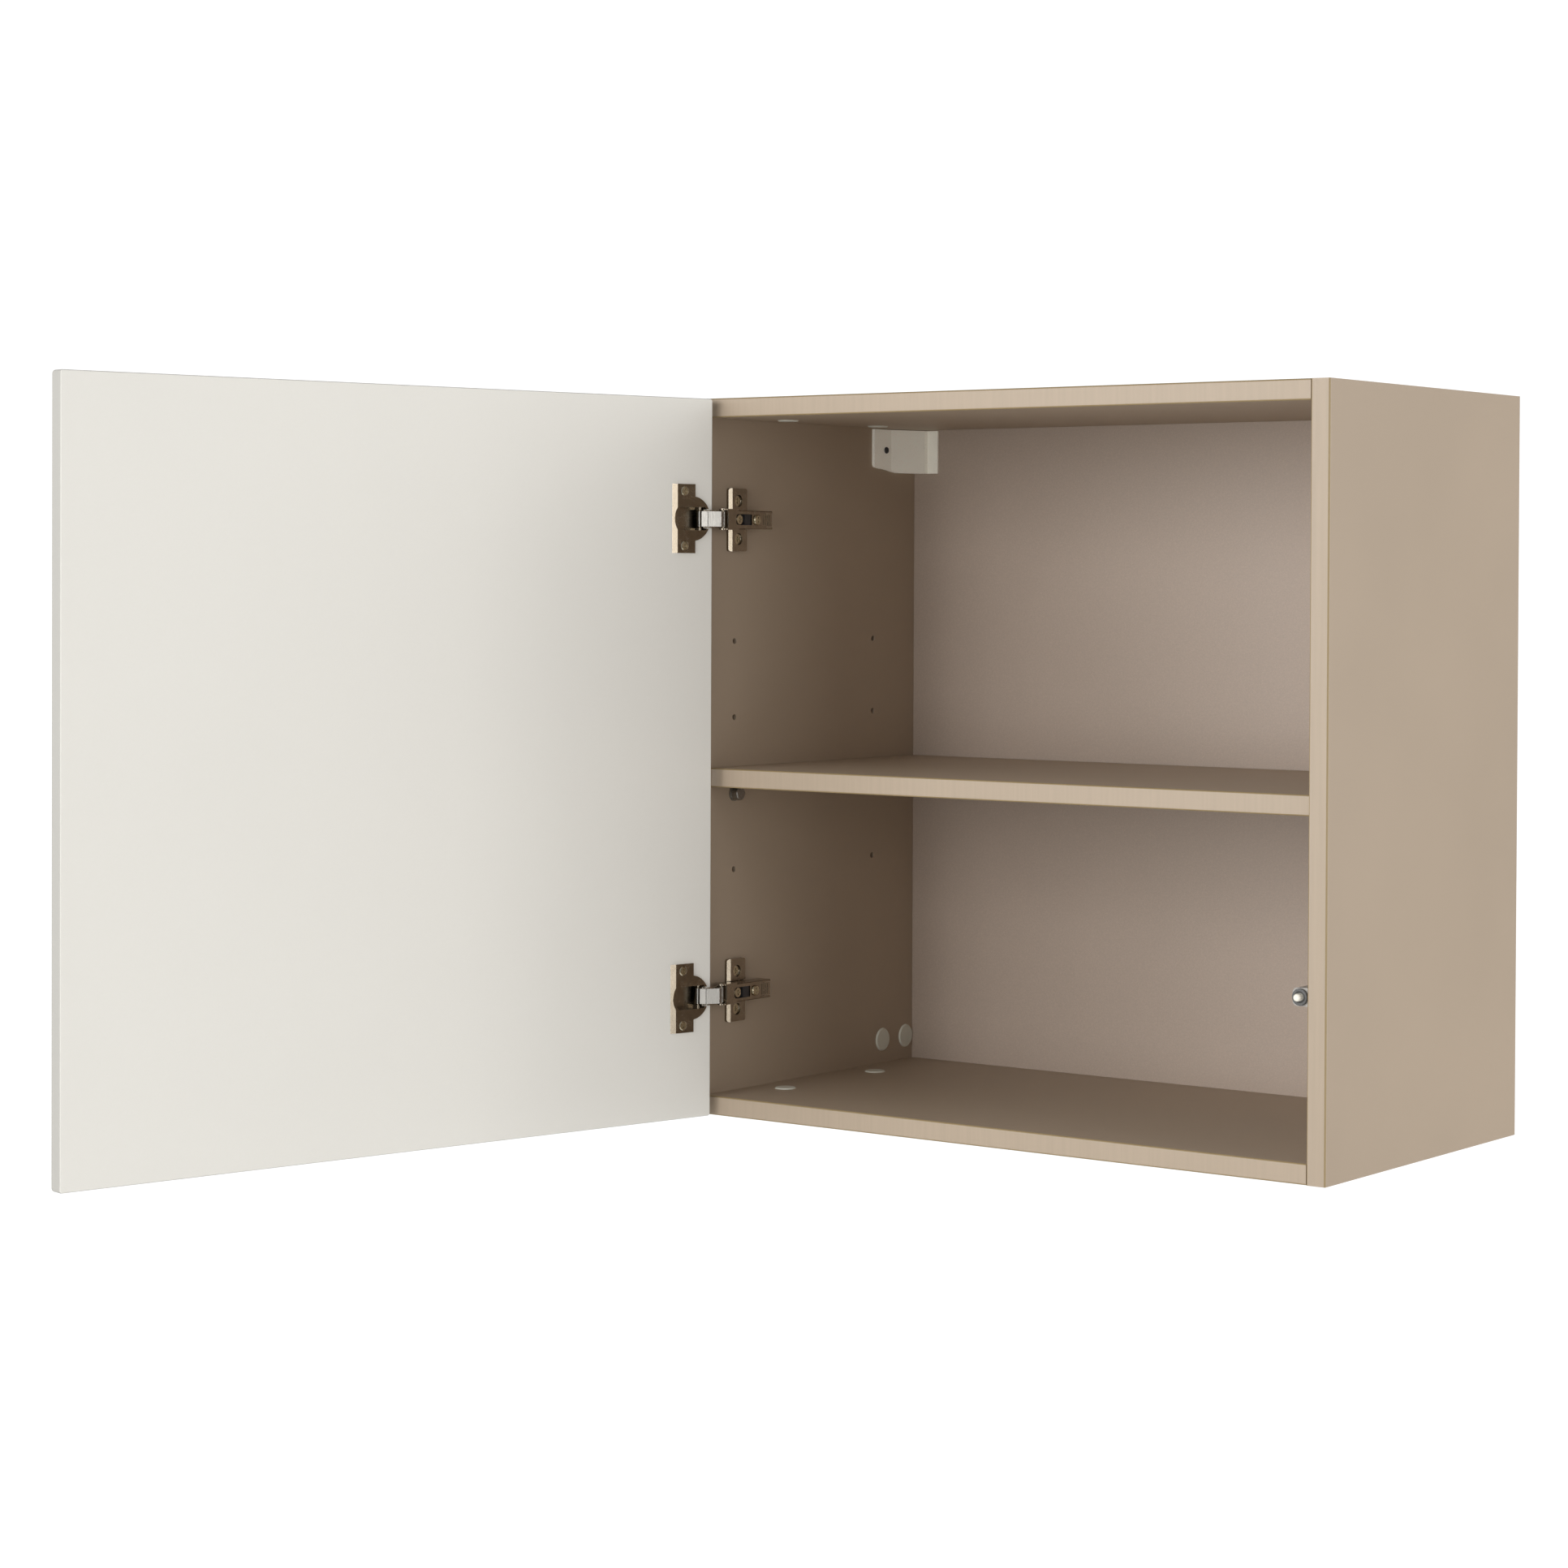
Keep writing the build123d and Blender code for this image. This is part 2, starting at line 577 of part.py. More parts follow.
def door_panel():
    """Door board with rounded front edges, bored for the two cups."""
    board = block(0, DOOR_WIDTH, -DOOR_THICK, 0, DOOR_LOW_Z, DOOR_HIGH_Z)
    corners = board.edges().filter_by(Axis.Y)
    board = fillet(corners, 2.0)
    outer = [e for e in board.edges() if abs(e.center().Y + DOOR_THICK) < 0.01]
    board = fillet(outer, DOOR_OUTER_ROUND)
    inner = [e for e in board.edges() if abs(e.center().Y) < 0.01]
    board = fillet(inner, DOOR_INNER_ROUND)
    for level in HINGE_LEVELS:
        board -= rod((CUP_CENTRE, 0, level), (0, -1, 0), CUP_R + 0.05, CUP_DEEP + 0.1)
        for dz in (-CUP_SCREW_HALF, CUP_SCREW_HALF):
            board -= rod((CUP_SCREW, 0, level + dz), (0, -1, 0), 1.75, 10.5)
    return DOOR_PLACE * board


def cup_lug(level, sign):
    """Lug beside the links, from the cup floor and wall to the cup pin."""
    z0 = level + (LUG_LOW if sign > 0 else -LUG_HIGH)
    tall = LUG_HIGH - LUG_LOW
    head = rod((CUP_PIN[0], -CUP_PIN[1], z0), (0, 0, 1), KNUCKLE_R - 0.2, tall)
    foot = CUP_DEEP - CUP_FLOOR / 2
    web = Polyline(
        (CUP_PIN[0] - 1.6, -CUP_PIN[1]),
        (CUP_PIN[0] + 1.2, -CUP_PIN[1] - 1.0),
        (CUP_PIN[0] + 0.2, -foot),
        (CUP_PIN[0] - 2.8, -foot),
        close=True,
    )
    plate = Pos(0, 0, z0) * extrude(make_face(web), amount=tall)
    hole = rod((CUP_PIN[0], -CUP_PIN[1], z0), (0, 0, 1), PIN_R, tall)
    return head + plate - hole


def hinge_cup(level):
    """Steel cup with a flanged rim, an oblong mouth and two lugs for the cup pin."""
    cup = rod((CUP_CENTRE, 0, level), (0, -1, 0), CUP_R, CUP_DEEP)
    floor_edge = [e for e in cup.edges() if abs(e.center().Y + CUP_DEEP) < 0.01]
    cup = fillet(floor_edge, 1.5)
    cup += rod((CUP_CENTRE, 0, level), (0, 1, 0), CUP_R + 0.9, CUP_FLANGE)
    bar = block(BAR_LOW, BAR_HIGH, 0, CUP_FLANGE, level - BAR_HALF, level + BAR_HALF)
    bevel = [e for e in bar.edges().filter_by(Axis.Z)
             if e.center().X > BAR_HIGH - 0.1 and e.center().Y > CUP_FLANGE - 0.1]
    cup += chamfer(bevel, CUP_FLANGE - 0.1, BAR_BEVEL)
    mouth = block(CUP_CENTRE - CUP_R, CUP_CENTRE + CUP_R, -CUP_DEEP + CUP_FLOOR, CUP_FLANGE + 1,
                  level - MOUTH_HALF, level + MOUTH_HALF)
    bore = rod((CUP_CENTRE, 2, level), (0, -1, 0), CUP_R - 1.2, CUP_DEEP - CUP_FLOOR + 2)
    cup -= mouth & bore
    notch = block(0, CUP_CENTRE - CUP_R + 4, -RIM_NOTCH_DEEP, CUP_FLANGE + 1,
                  level - RIM_NOTCH_HALF, level + RIM_NOTCH_HALF)
    cup -= notch
    for dz in (-CUP_SCREW_HALF, CUP_SCREW_HALF):
        cup -= rod((CUP_SCREW, 2, level + dz), (0, -1, 0), 2.2, 6)
        cup -= cone((CUP_SCREW, CUP_FLANGE, level + dz), (0, -1, 0), 4.0, 2.2, CUP_FLANGE)
    for sign in (-1, 1):
        cup += cup_lug(level, sign)
    return DOOR_PLACE * cup


def cup_screws(level):
    """Two countersunk wood screws that hold one cup."""
    screws = []
    for dz in (-CUP_SCREW_HALF, CUP_SCREW_HALF):
        top = (CUP_SCREW, CUP_FLANGE + 0.45, level + dz)
        head = cone(top, (0, -1, 0), 3.0, 3.8, 0.5)
        sink = cone((CUP_SCREW, CUP_FLANGE - 0.05, level + dz), (0, -1, 0), 3.8, 1.75, 0.95)
        shank = rod((CUP_SCREW, 0.2, level + dz), (0, -1, 0), 1.7, 10)
        screw = head + sink + shank - cross_recess(top, (0, -1, 0), 4.2, 0.9, 1.0)
        screws.append(DOOR_PLACE * screw)
    return group(screws)


def cup_pin(level):
    """Pin through the cup's lugs and the outer link's eye."""
    start = (CUP_PIN[0], -CUP_PIN[1], level - CUP_PIN_HALF)
    return DOOR_PLACE * rod(start, (0, 0, 1), PIN_R, 2 * CUP_PIN_HALF)


# ---------------------------------------------------------------- hinge links and arm

def outer_link(level):
    """Cranked link from the cup to the front of the arm, with a rolled eye at each end."""
    z0 = level - LINK_HALF
    tall = 2 * LINK_HALF
    link = plan_band(OUTER_LINK_LINE, LINK_THICK / 2, z0, z0 + tall)
    for point in (CUP_PIN_OPEN, ARM_PIN):
        link += rod((LEFT + point[0], FRONT + point[1], z0), (0, 0, 1), KNUCKLE_R, tall)
    for point in (CUP_PIN_OPEN, ARM_PIN):
        link -= rod((LEFT + point[0], FRONT + point[1], z0 - 1), (0, 0, 1), PIN_R + PIN_FIT, tall + 2)
    bend = OUTER_LINK_BENDS[1]
    out = LINK_THICK / 2 - CREASE_SINK
    crease_x = LEFT + bend[0] + CREASE_OUT[0] * out
    crease_y = FRONT + bend[1] + CREASE_OUT[1] * out
    return link - rod((crease_x, crease_y, z0), (0, 0, 1), CREASE_R, tall)


def inner_link(level):
    """Pair of thin cranked cheeks either side of the outer link, tied by the rear pin."""
    cheeks = None
    for sign in (-1, 1):
        z0 = level + (CHEEK_LOW if sign > 0 else -CHEEK_HIGH)
        cheek = plan_band(INNER_LINK_LINE, CHEEK_HALF_WIDE, z0, z0 + CHEEK_HIGH - CHEEK_LOW)
        px, py = LEFT + INNER_PIN[0], FRONT + INNER_PIN[1]
        cheek += rod((px, py, z0), (0, 0, 1), KNUCKLE_R, CHEEK_HIGH - CHEEK_LOW)
        cheeks = cheek if cheeks is None else cheeks + cheek
    tie = rod((LEFT + INNER_PIN[0], FRONT + INNER_PIN[1], level - EAR_HIGH), (0, 0, 1), PIN_R, 2 * EAR_HIGH)
    return cheeks + tie


def arm_pin(level):
    """Pin through the arm's ears and the outer link's eye."""
    z0 = level - EAR_HIGH - 0.3
    return rod((LEFT + ARM_PIN[0], FRONT + ARM_PIN[1], z0), (0, 0, 1), PIN_R, 2 * (EAR_HIGH + 0.3))


def arm_ear(level, sign):
    """Flat ear that carries the two link pins at the front of the arm."""
    z0 = level + (EAR_LOW if sign > 0 else -EAR_HIGH)
    tall = EAR_HIGH - EAR_LOW
    line = Polyline(
        (LEFT + ARM_FACE, FRONT + ARM_PIN[1] + 0.5),
        (LEFT + ARM_FACE, FRONT + EAR_REAR),
        (LEFT + ARM_LOW, FRONT + EAR_REAR),
        (LEFT + ARM_LOW, FRONT + 9.0),
        (LEFT + ARM_PIN[0] - 3.2, FRONT + ARM_PIN[1] - 1.0),
        close=True,
    )
    plate = Pos(0, 0, z0) * extrude(make_face(line), amount=tall)
    plate += rod((LEFT + ARM_PIN[0], FRONT + ARM_PIN[1], z0), (0, 0, 1), EAR_R, tall)
    return plate


def hinge_arm(level):
    """Pressed arm: channel over the plate's rail, wider ears in front, open adjusting slot."""
    x_low = LEFT + ARM_LOW
    x_face = LEFT + ARM_FACE
    ear_rear = FRONT + EAR_REAR
    arm = block(x_low, x_face, FRONT + ARM_FRONT, FRONT + ARM_REAR, level - ARM_HALF, level + ARM_HALF)
    back_edges = [e for e in arm.edges().filter_by(Axis.Y) if e.center().X > x_face - 0.1]
    arm = fillet(back_edges, 0.8)
    x_roof = x_face - ARM_WALL
    half = ARM_HALF - ARM_WALL
    arm -= block(x_low - 1, x_roof, FRONT, 0, level - half, level + half)
    half = ARM_HALF + 1
    arm -= block(x_low - 1, x_roof, FRONT, ear_rear - 1.5, level - half, level + half)
    for sign in (-1, 1):
        arm += arm_ear(level, sign)
    arm += block(x_roof, x_face, FRONT + ARM_FRONT, ear_rear, level - EAR_HIGH, level + EAR_HIGH)
    slot = block(x_face - 3, x_face + 1, FRONT + SLOT_FRONT, FRONT + SLOT_REAR,
                 level - SLOT_HALF, level + SLOT_HALF)
    round_end = [e for e in slot.edges().filter_by(Axis.X) if e.center().Y < FRONT + 20]
    arm -= fillet(round_end, 3.0)
    arm -= rod((x_face + 1, FRONT + ADJUST_REAR, level), (-1, 0, 0), 2.6, 5)
    arm -= block(x_face - 3, x_face + 1, FRONT + LEVER_FRONT, 0, level - LEVER_HALF, level + LEVER_HALF)
    for point, radius in ((ARM_PIN, PIN_R), (INNER_PIN, PIN_R + PIN_FIT)):
        seat = (LEFT + point[0], FRONT + point[1], level - 12)
        arm -= rod(seat, (0, 0, 1), radius, 24)
    return arm


def mounting_plate(level):
    """Cross-shaped plate: a rail under the arm and two screwed wings."""
    rail = block(INNER_LEFT, LEFT + PLATE_RAIL, FRONT + RAIL_FRONT, FRONT + RAIL_REAR,
                 level - RAIL_HALF, level + RAIL_HALF)
    wings = block(INNER_LEFT, LEFT + PLATE_TOP, FRONT + WING_FRONT, FRONT + WING_REAR,
                  level - WING_HALF, level + WING_HALF)
    nose = [e for e in wings.edges().filter_by(Axis.Z)
            if e.center().X > LEFT + PLATE_TOP - 0.1 and e.center().Y < FRONT + WING_FRONT + 0.1]
    wings = chamfer(nose, WING_BEVEL[1], WING_BEVEL[0])
    wings = fillet(wings.edges().filter_by(Axis.X), WING_ROUND)
    plate = rail + wings
    foot = block(LEFT + PLATE_TOP - 2, LEFT + PLATE_RAIL + 1, FRONT + WING_FRONT, FRONT + WING_REAR,
                 level - ARM_HALF - 0.4, level + ARM_HALF + 0.4)
    foot -= block(LEFT, LEFT + PLATE_RAIL + 2, FRONT, 0, level - RAIL_HALF, level + RAIL_HALF)
    plate -= foot
    for dz in (-PITCH / 2, PITCH / 2):
        seat = (LEFT + PLATE_TOP, FRONT + ROW_FRONT, level + dz)
        plate -= rod(seat, (-1, 0, 0), 5.1, SCREW_SINK)
        seat = (LEFT + PLATE_TOP - SCREW_SINK, FRONT + ROW_FRONT, level + dz)
        plate -= cone(seat, (-1, 0, 0), 4.5, 3.1, 2.2)
        plate -= rod(seat, (-1, 0, 0), 2.6, 5)
    plate -= rod((LEFT + PLATE_RAIL + 1, FRONT + ADJUST_REAR, level), (-1, 0, 0), 2.1, 9)
    plate -= rod((LEFT + PLATE_RAIL + 1, FRONT + ADJUST_FRONT + 1.5, level), (-1, 0, 0), 2.1, 9)
    return plate


def plate_screws(level):
    """Two short euro screws that hold one mounting plate."""
    screws = []
    for dz in (-PITCH / 2, PITCH / 2):
        top = (LEFT + PLATE_TOP - SCREW_SINK - 0.2, FRONT + ROW_FRONT, level + dz)
        head = cone(top, (-1, 0, 0), 4.2, 2.9, 1.9)
        shank = rod((top[0] - 1.8, top[1], top[2]), (-1, 0, 0), 2.45, 12.0)
        screws.append(head + shank - cross_recess(top, (-1, 0, 0), 4.6, 1.5, 1.1))
    return group(screws)


def adjusting_screws(level):
    """Side-adjusting screw in the slot and depth-fixing screw behind it."""
    rail_x = LEFT + PLATE_RAIL
    side = rod((rail_x, FRONT + ADJUST_FRONT + 1.5, level), (1, 0, 0), 3.9, 2.6)
    side += rod((rail_x, FRONT + ADJUST_FRONT + 1.5, level), (-1, 0, 0), 2.0, 7)
    side -= cross_recess((rail_x + 2.6, FRONT + ADJUST_FRONT + 1.5, level), (-1, 0, 0), 4.4, 1.4, 1.0)
    face = (LEFT + ARM_FACE, FRONT + ADJUST_REAR, level)
    rear = pan_screw(face, (-1, 0, 0), 4.4, 1.7, 2.0, 11)
    return group([side, rear])


def slot_slider(level):
    """Dark slider block between the adjusting screw and the closed end of the slot."""
    x0 = LEFT + PLATE_RAIL
    return block(x0, LEFT + ARM_FACE - 0.5, FRONT + 27.6, FRONT + 35.8, level - 4.4, level + 4.4)


def clip_lever(level):
    """Release lever at the rear of the arm, with grip ridges."""
    x0 = LEFT + 31.4
    x1 = LEFT + ARM_FACE - 0.4
    half = LEVER_HALF - 0.3
    lever = block(x0, x1, FRONT + LEVER_FRONT + 0.3, FRONT + ARM_REAR - 0.2, level - half, level + half)
    for i in range(4):
        y = FRONT + LEVER_FRONT + 3.1 + LEVER_RIDGE * i
        lever += block(x1 - 0.1, x1 + 0.4, y, y + 1.1, level - half + 0.8, level + half - 0.8)
    return lever


def closing_spring(level):
    """Leaf spring under the arm's roof that loads the outer link's eye."""
    x1 = LEFT + ARM_FACE - ARM_WALL - 0.1
    return block(x1 - 0.5, x1, FRONT + 5.8, FRONT + 15.0, level - 3.4, level + 3.4)


# ---------------------------------------------------------------- push latch

def latch_housing():
    """Adapter housing on the right side, bored for the latch cartridge."""
    x_axis = LEFT + LATCH_X
    side = -INNER_LEFT
    body = block(x_axis - LATCH_BOX_HALF, side, FRONT + 5.9, FRONT + LATCH_REAR,
                 LATCH_Z - LATCH_BOX_HALF, LATCH_Z + LATCH_BOX_HALF)
    free = [e for e in body.edges().filter_by(Axis.Y) if e.center().X < x_axis]
    body = fillet(free, 4.0)
    wing = block(side - LATCH_WING_THICK, side, FRONT + LATCH_WING[0], FRONT + LATCH_WING[1],
                 LATCH_Z - LATCH_WING_HALF, LATCH_Z + LATCH_WING_HALF)
    wing = fillet(wing.edges().filter_by(Axis.X), 3.0)
    body += wing
    body -= rod((x_axis, FRONT, LATCH_Z), (0, 1, 0), LATCH_BODY_R + 0.1, LATCH_REAR - 2)
    for row, dz in LATCH_SCREWS:
        body -= rod((side - 4, FRONT + row, LATCH_Z + dz), (1, 0, 0), 1.9, 6)
    return body


def latch_cartridge():
    """Cartridge tube with a collar that stops against the housing."""
    x_axis = LEFT + LATCH_X
    tube = rod((x_axis, FRONT + 5.0, LATCH_Z), (0, 1, 0), LATCH_BODY_R, LATCH_REAR - 8)
    ring = rod((x_axis, FRONT + LATCH_RING_FRONT, LATCH_Z), (0, 1, 0), LATCH_RING_R, 2.2)
    rim = [e for e in ring.edges() if e.geom_type == GeomType.CIRCLE]
    rim = [e for e in rim if e.center().Y < FRONT + LATCH_RING_FRONT + 0.1]
    ring = fillet(rim, 0.7)
    ring -= cone((x_axis, FRONT + LATCH_RING_FRONT, LATCH_Z), (0, 1, 0), 4.6, PLUNGER_R + 0.1, 1.6)
    tube = tube + ring
    return tube - rod((x_axis, FRONT, LATCH_Z), (0, 1, 0), PLUNGER_R + 0.1, LATCH_REAR - 8)


def latch_plunger():
    """Sprung plunger with a domed tip and a flat rear seat for its spring."""
    x_axis = LEFT + LATCH_X
    tip = FRONT - LATCH_TIP
    stem = rod((x_axis, tip, LATCH_Z), (0, 1, 0), PLUNGER_R, PLUNGER_LONG)
    rim = [e for e in stem.edges() if e.geom_type == GeomType.CIRCLE]
    rim = [e for e in rim if e.center().Y < tip + 0.1]
    return fillet(rim, 1.9)


def latch_spring():
    """Coil spring behind the plunger, drawn as a closed sleeve of its own size."""
    x_axis = LEFT + LATCH_X
    start = FRONT - LATCH_TIP + PLUNGER_LONG + 0.2
    sleeve = rod((x_axis, start, LATCH_Z), (0, 1, 0), 2.5, 28.0)
    return sleeve - rod((x_axis, start - 1, LATCH_Z), (0, 1, 0), 1.9, 30.0)


def latch_screws():
    """Two screws through the housing's wings."""
    screws = []
    for row, dz in LATCH_SCREWS:
        face = (-INNER_LEFT - LATCH_WING_THICK, FRONT + row, LATCH_Z + dz)
        screws.append(pan_screw(face, (1, 0, 0), 3.2, 1.4, 1.5, 10.5))
    return group(screws)


# ---------------------------------------------------------------- all nodes

def carcass_nodes():
    """Boards, bands, back and shelf."""
    left = side_panel(True)
    right = mirrored(side_panel(False))
    band = side_band()
    return {
        "side_panel_left": left,
        "side_panel_right": right,
        "top_panel": deck_panel(True),
        "bottom_panel": deck_panel(False),
        "back_panel": back_panel(),
        "edge_band_left": band,
        "edge_band_right": mirrored(band),
        "edge_band_top": deck_band(True),
        "edge_band_bottom": deck_band(False),
        "shelf": shelf(),
        "shelf_edge_band": shelf_band(),
        "shelf_studs": shelf_studs(),
    }


def fitting_nodes():
    """Corner fittings and caps."""
    places = corner_places()
    return {
        "cam_locks": group(cam_lock(*p) for p in places),
        "cam_bolts": group(cam_bolt(*p) for p in places),
        "cam_caps": group(cam_cap(*p) for p in places),
        "wood_dowels": wood_dowels(),
        "side_hole_caps": side_caps(),
    }


def hanger_nodes():
    """Both wall hangers and their covers."""
    makers = {
        "hanger_body": hanger_body(),
        "hanger_hook": hanger_hook(),
        "hanger_adjuster": hanger_adjuster(),
        "hanger_cover": hanger_cover(),
        "hanger_cover_screw": cover_screw(),
    }
    nodes = {}
    for name, solid in makers.items():
        nodes[name + "_left"] = solid
        nodes[name + "_right"] = mirrored(solid)
    return nodes


def hinge_nodes():
    """Both hinges, every piece its own node."""
    makers = {
        "mounting_plate": mounting_plate,
        "plate_screws": plate_screws,
        "hinge_arm": hinge_arm,
        "adjusting_screws": adjusting_screws,
        "slot_slider": slot_slider,
        "clip_lever": clip_lever,
        "closing_spring": closing_spring,
        "arm_pin": arm_pin,
        "outer_link": outer_link,
        "inner_link": inner_link,
        "hinge_cup": hinge_cup,
        "cup_pin": cup_pin,
        "cup_screws": cup_screws,
    }
    nodes = {}
    for place, level in zip(("lower", "upper"), HINGE_LEVELS):
        for name, maker in makers.items():
            nodes[name + "_" + place] = maker(level)
    return nodes


def latch_nodes():
    """Push latch on the right side."""
    return {
        "latch_housing": latch_housing(),
        "latch_cartridge": latch_cartridge(),
        "latch_plunger": latch_plunger(),
        "latch_spring": latch_spring(),
        "latch_screws": latch_screws(),
    }


NODES = {}
NODES.update(carcass_nodes())
NODES.update(fitting_nodes())
NODES.update(hanger_nodes())
NODES["door_panel"] = door_panel()
NODES.update(hinge_nodes())
NODES.update(latch_nodes())

for node_name, node_shape in NODES.items():
    export_step(node_shape, "parts/" + node_name + ".step")
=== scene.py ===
import json
import math

import bmesh
import bpy
from mathutils import Matrix, Vector


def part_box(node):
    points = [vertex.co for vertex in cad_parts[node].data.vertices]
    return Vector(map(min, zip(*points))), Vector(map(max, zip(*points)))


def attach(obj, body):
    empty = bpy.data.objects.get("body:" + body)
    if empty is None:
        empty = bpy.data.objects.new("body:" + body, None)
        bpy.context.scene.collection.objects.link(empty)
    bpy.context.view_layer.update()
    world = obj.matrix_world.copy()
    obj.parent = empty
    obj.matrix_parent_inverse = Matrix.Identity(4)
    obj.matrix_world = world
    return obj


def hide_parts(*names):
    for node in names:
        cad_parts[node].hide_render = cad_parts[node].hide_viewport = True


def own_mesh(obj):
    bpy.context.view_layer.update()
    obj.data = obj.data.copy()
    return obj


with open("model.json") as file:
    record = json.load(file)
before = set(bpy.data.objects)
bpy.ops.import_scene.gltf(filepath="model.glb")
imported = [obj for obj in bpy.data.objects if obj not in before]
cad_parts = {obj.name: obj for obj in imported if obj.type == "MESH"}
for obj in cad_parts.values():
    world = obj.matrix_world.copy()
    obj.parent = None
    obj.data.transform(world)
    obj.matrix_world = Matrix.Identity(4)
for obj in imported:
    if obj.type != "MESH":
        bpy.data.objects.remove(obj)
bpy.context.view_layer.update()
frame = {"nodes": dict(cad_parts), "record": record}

nodes = frame["nodes"]
scene = bpy.context.scene

BEVEL_SAMPLES = 4
ARRIS_RADIUS = 0.0004  # how far the rubbing and painted highlight reach from an arris
# share of painted shade on the edge band's rounded arris
BAND_ARRIS_SHADE_SHARE = 0.85
# painted highlight on plastic arrises
PLASTIC_ARRIS_HIGHLIGHT_SHARE = 0.35
PLASTIC_ARRIS_HIGHLIGHT_LIFT = 1.25
SPECK_LIFT = 1.35
SPECK_DROP = 0.72
RIM_SHADE_DROP = 0.56  # painted shade on a board's rim, darker than its faces
BAND_SPECULAR = 0.45

scene.view_settings.view_transform = "Standard"
scene.view_settings.look = "None"


# ---------------------------------------------------------------- node helpers

def new_material(name):
    """Empty node material with a Principled shader and an output."""
    material = bpy.data.materials.new(name)
    material.use_nodes = True
    tree = material.node_tree
    tree.nodes.clear()
    out = tree.nodes.new("ShaderNodeOutputMaterial")
    shader = tree.nodes.new("ShaderNodeBsdfPrincipled")
    tree.links.new(shader.outputs["BSDF"], out.inputs["Surface"])
    return material, tree, shader


def place(tree, stretch=(1, 1, 1)):
    """Object coordinates in metres, stretched along the axes."""
    coords = tree.nodes.new("ShaderNodeTexCoord")
    mapping = tree.nodes.new("ShaderNodeMapping")
    mapping.inputs["Scale"].default_value = stretch
    tree.links.new(coords.outputs["Object"], mapping.inputs["Vector"])
    return mapping.outputs["Vector"]


def noise(tree, vector, scale, detail=3.0, rough=0.55):
    """Noise value at a scale given per metre."""
    node = tree.nodes.new("ShaderNodeTexNoise")
    node.inputs["Scale"].default_value = scale
    node.inputs["Detail"].default_value = detail
    node.inputs["Roughness"].default_value = rough
    tree.links.new(vector, node.inputs["Vector"])
    return node.outputs["Fac"]


def remap(tree, value, low, high, to_low, to_high):
    """Value taken from one range to another and held at its ends."""
    node = tree.nodes.new("ShaderNodeMapRange")
    node.inputs["From Min"].default_value = low
    node.inputs["From Max"].default_value = high
    node.inputs["To Min"].default_value = to_low
    node.inputs["To Max"].default_value = to_high
    tree.links.new(value, node.inputs["Value"])
    return node.outputs["Result"]


def maths(tree, kind, a, b):
    """One sum on two values, each a number or a socket."""
    node = tree.nodes.new("ShaderNodeMath")
    node.operation = kind
    for i, x in enumerate((a, b)):
        if isinstance(x, (int, float)):
            node.inputs[i].default_value = x
        else:
            tree.links.new(x, node.inputs[i])
    return node.outputs[0]


def blend_colour(tree, factor, a, b):
    """Colour a where the factor is 0 and b where it is 1."""
    node = tree.nodes.new("ShaderNodeMix")
    node.data_type = "RGBA"
    if isinstance(factor, (int, float)):
        node.inputs[0].default_value = factor
    else:
        tree.links.new(factor, node.inputs[0])
    for socket, x in ((node.inputs[6], a), (node.inputs[7], b)):
        if isinstance(x, tuple):
            socket.default_value = (*x, 1)
        else:
            tree.links.new(x, socket)
    return node.outputs[2]


def bump(tree, heights, shader):
    """Chain of bumps: each is (height value, distance in metres, strength)."""
    normal = None
    for height, distance, strength in heights:
        node = tree.nodes.new("ShaderNodeBump")
        node.inputs["Strength"].default_value = strength
        node.inputs["Distance"].default_value = distance
        tree.links.new(height, node.inputs["Height"])
        if normal is not None:
            tree.links.new(normal, node.inputs["Normal"])
        normal = node.outputs["Normal"]
    tree.links.new(normal, shader.inputs["Normal"])


def edge_wear_and_highlight(tree):
    """Mask for rubbed arrises and painted highlight: 0 on flats, towards 1 near an arris, found
    from how far a rounded normal leans.
    """
    geometry = tree.nodes.new("ShaderNodeNewGeometry")
    rounded = tree.nodes.new("ShaderNodeBevel")
    rounded.samples = BEVEL_SAMPLES
    rounded.inputs["Radius"].default_value = ARRIS_RADIUS
    dot = tree.nodes.new("ShaderNodeVectorMath")
    dot.operation = "DOT_PRODUCT"
    tree.links.new(rounded.outputs["Normal"], dot.inputs[0])
    tree.links.new(geometry.outputs["Normal"], dot.inputs[1])
    return remap(tree, dot.outputs["Value"], 0.995, 0.80, 0, 1)


def scaled(colour, k):
    """Colour made lighter or darker."""
    return tuple(min(1.0, c * k) for c in colour)


def two_tone(tree, value, low, high, colour, spread):
    """Colour that drifts a little darker and lighter with a noise value."""
    share = remap(tree, value, low, high, 0, 1)
    return blend_colour(tree, share, scaled(colour, 1 - spread[0]), scaled(colour, 1 + spread[1]))


def rim_shade_mask(tree, across):
    """Mask for the painted shade on a board's edges: 1 on the surfaces that stand square to a
    board's thickness direction, 0 on its faces.
    """
    coords = tree.nodes.new("ShaderNodeTexCoord")
    dot = tree.nodes.new("ShaderNodeVectorMath")
    dot.operation = "DOT_PRODUCT"
    dot.inputs[1].default_value = across
    tree.links.new(coords.outputs["Normal"], dot.inputs[0])
    return remap(tree, maths(tree, "ABSOLUTE", dot.outputs["Value"], 0), 0.9, 0.5, 0, 1)


# ---------------------------------------------------------------- materials

